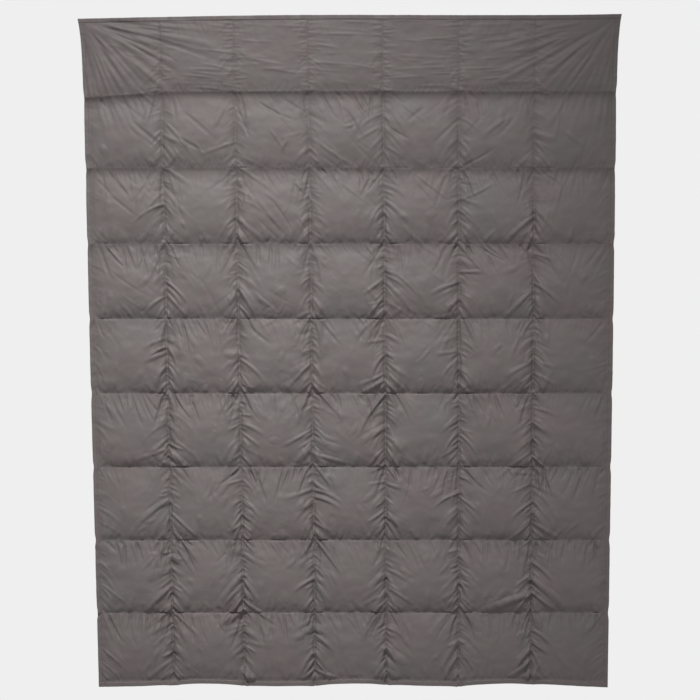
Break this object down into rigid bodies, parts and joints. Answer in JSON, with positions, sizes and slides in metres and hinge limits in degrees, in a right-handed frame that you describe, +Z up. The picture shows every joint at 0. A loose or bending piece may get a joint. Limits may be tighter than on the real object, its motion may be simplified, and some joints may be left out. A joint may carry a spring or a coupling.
{
  "type": "camp quilt",
  "caption": "Hung rectangular down camp quilt: woven face and lining sewn through in a grid of square down-filled chambers, edges closed by a folded binding.",
  "frame": {"origin": "middle of the top edge, in the plane where face and lining are sewn together", "axes": "+X along the top edge, +Z up, face fabric looks along -Y; the quilt hangs down along -Z"},
  "size_m": [1.4, 0.036, 1.8],
  "materials": {
    "shell_nylon": "satin",
    "lining_nylon": "satin",
    "down": "matte",
    "thread": "satin",
    "binding_tape": "satin"
  },
  "bodies": {
    "root": {"face_fabric": "shell_nylon", "lining_fabric": "lining_nylon", "down_fill_row_1": "down", "down_fill_row_2": "down", "down_fill_row_3": "down", "down_fill_row_4": "down", "down_fill_row_5": "down", "down_fill_row_6": "down", "down_fill_row_7": "down", "down_fill_row_8": "down", "down_fill_row_9": "down", "cross_seam_1": "thread", "cross_seam_2": "thread", "cross_seam_3": "thread", "cross_seam_4": "thread", "cross_seam_5": "thread", "cross_seam_6": "thread", "cross_seam_7": "thread", "cross_seam_8": "thread", "long_seam_1": "thread", "long_seam_2": "thread", "long_seam_3": "thread", "long_seam_4": "thread", "long_seam_5": "thread", "long_seam_6": "thread", "binding_stitch_top": "thread", "binding_stitch_bottom": "thread", "binding_stitch_left": "thread", "binding_stitch_right": "thread", "edge_binding_top": "binding_tape", "edge_binding_bottom": "binding_tape", "edge_binding_left": "binding_tape", "edge_binding_right": "binding_tape"}
  },
  "joints": []
}
